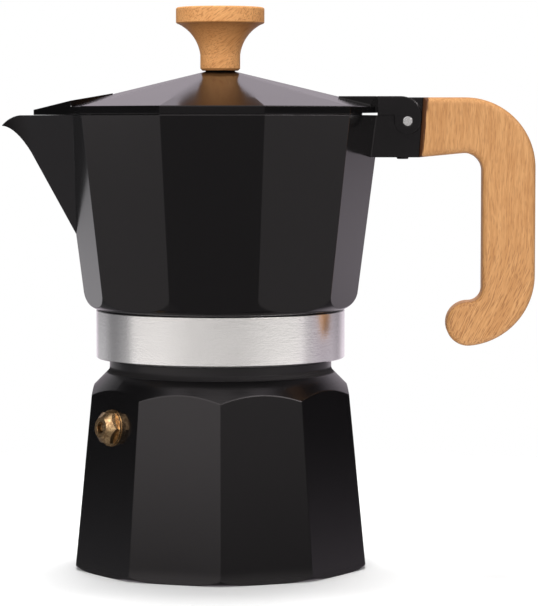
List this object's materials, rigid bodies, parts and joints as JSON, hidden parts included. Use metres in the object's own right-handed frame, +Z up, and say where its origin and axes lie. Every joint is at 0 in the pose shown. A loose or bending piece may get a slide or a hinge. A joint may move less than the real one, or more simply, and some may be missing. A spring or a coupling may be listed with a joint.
{
  "type": "stovetop moka pot",
  "caption": "Faceted stovetop moka pot with a screwed-on upper chamber, pouring spout, hinged lid, hooked wooden handle, wooden knob, filter funnel and safety valve.",
  "frame": {"origin": "centre of the boiler's flat bottom face", "axes": "+Z up along the pot's axis, +X towards the handle, -X towards the spout, -Y towards the viewer of the picture"},
  "size_m": [0.1553, 0.089, 0.1625],
  "materials": {
    "black_coating": "semi-gloss black coating on cast aluminium",
    "bare_aluminium": "turned, bright",
    "brass": "bright",
    "steel": "satin",
    "silicone": "matt",
    "wood": "satin varnish"
  },
  "bodies": {
    "boiler": {"boiler": "black_coating", "valve_body": "brass", "valve_washer": "brass", "valve_cap": "brass", "valve_spring": "steel"},
    "plunger": {"valve_plunger": "brass"},
    "funnel": {"filter_funnel": "bare_aluminium", "funnel_tube": "bare_aluminium", "funnel_screen": "bare_aluminium"},
    "gasket": {"gasket": "silicone"},
    "filter_plate": {"filter_plate": "bare_aluminium"},
    "collector": {"collector": "black_coating", "collar_ring": "bare_aluminium", "riser_column": "bare_aluminium", "hinge_pin": "steel", "handle": "wood", "handle_tang": "steel", "handle_screw": "steel"},
    "lid": {"lid": "black_coating", "knob": "wood", "knob_insert": "brass", "knob_screw": "steel"}
  },
  "joints": [
    {"name": "funnel_lift", "type": "slide", "parent": "boiler", "child": "funnel", "axis": [0, 0, 1], "range_m": [0, 0.07]},
    {"name": "top_lift", "type": "slide", "parent": "funnel", "child": "gasket", "axis": [0, 0, 1], "range_m": [0, 0.05]},
    {"name": "thread_rise", "type": "slide", "parent": "gasket", "child": "filter_plate", "axis": [0, 0, 1], "range_m": [0, 0.005]},
    {"name": "collector_turn", "type": "hinge", "parent": "filter_plate", "child": "collector", "pos_m": [0, 0, 0.0723], "axis": [0, 0, 1], "range_deg": [0, 720]},
    {"name": "lid_swing", "type": "hinge", "parent": "collector", "child": "lid", "pos_m": [0.05445, 0, 0.12949], "axis": [0, 1, 0], "range_deg": [0, 90]},
    {"name": "valve_lift", "type": "slide", "parent": "boiler", "child": "plunger", "axis": [-0.7763, -0.6231, 0.0954], "range_m": [0, 0.0012], "stiffness_N_per_m": 1500, "springref_m": -0.003, "deforming": ["valve_spring"]}
  ],
  "couplings": [
    {"joint": "thread_rise", "follows": "collector_turn", "m_per_rad": 0.00039789}
  ]
}
